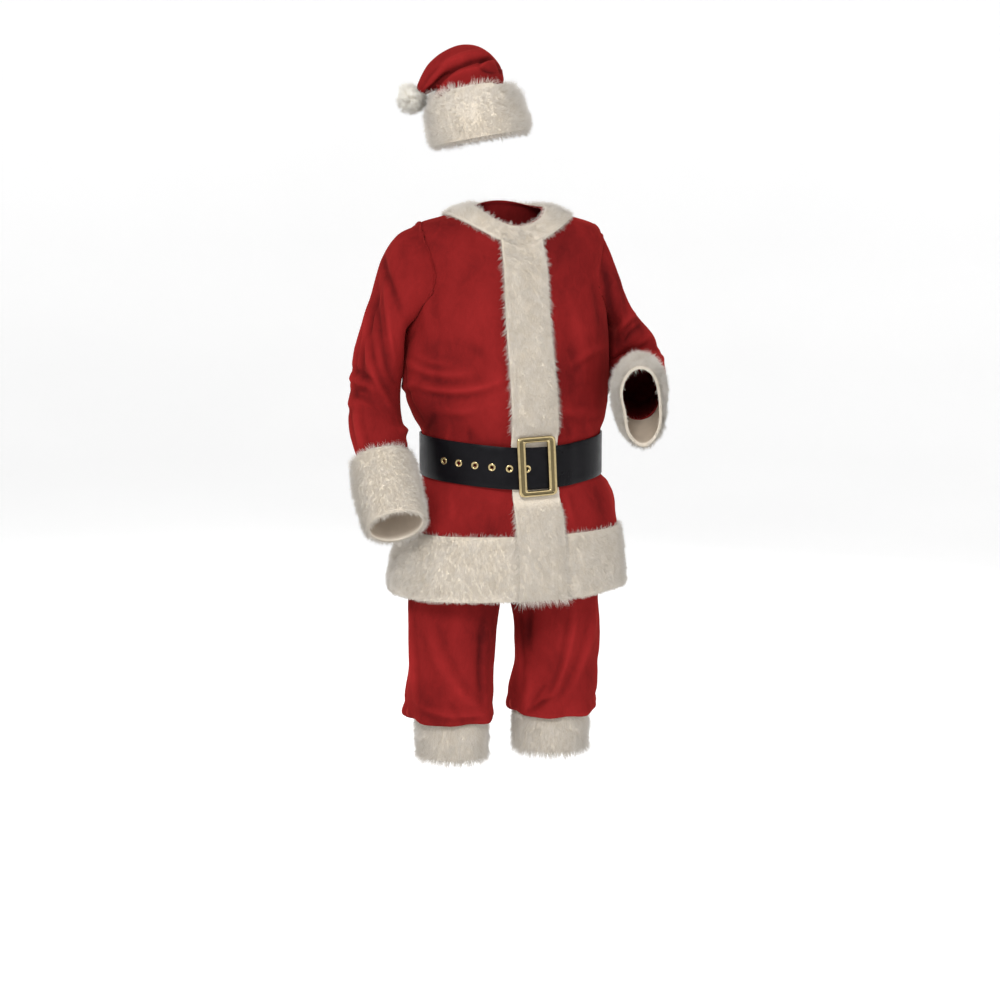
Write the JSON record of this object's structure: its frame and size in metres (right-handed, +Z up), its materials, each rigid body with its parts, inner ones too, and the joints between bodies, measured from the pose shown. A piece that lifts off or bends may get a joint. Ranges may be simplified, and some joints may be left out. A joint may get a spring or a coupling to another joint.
{
  "type": "santa suit",
  "caption": "Santa suit as it is worn: belted velvet jacket with plush front band, hem and cuffs, velvet trousers with plush cuffs, and a floppy cap with plush brim and pompom.",
  "frame": {"origin": "the middle of the base of the wearer's neck, inside the jacket's collar, where the wearer holds the suit up", "axes": "+Z up; -Y to the suit's front; +X to the suit's left side, so its right sleeve is at -X"},
  "size_m": [0.7193, 0.4819, 1.5161],
  "materials": {
    "velvet": "crushed red velvet",
    "plush": "long cream plush",
    "vinyl": "satin black vinyl",
    "brass": "pale polished brass"
  },
  "bodies": {
    "root": {"jacket_front_right": "velvet", "jacket_front_left": "velvet", "jacket_back": "velvet", "sleeve_right": "velvet", "sleeve_left": "velvet", "trouser_front_right": "velvet", "trouser_back_right": "velvet", "trouser_front_left": "velvet", "trouser_back_left": "velvet", "waistband": "velvet", "hat_crown": "velvet", "sleeve_cuff_right": "plush", "sleeve_cuff_left": "plush", "front_band": "plush", "hem_band": "plush", "collar": "plush", "trouser_cuff_right": "plush", "trouser_cuff_left": "plush", "hat_brim": "plush", "hat_pompom": "plush", "belt_strap": "vinyl", "belt_buckle": "brass", "belt_eyelet_1": "brass", "belt_eyelet_2": "brass", "belt_eyelet_3": "brass", "belt_eyelet_4": "brass", "belt_eyelet_5": "brass", "belt_eyelet_6": "brass"}
  },
  "joints": []
}
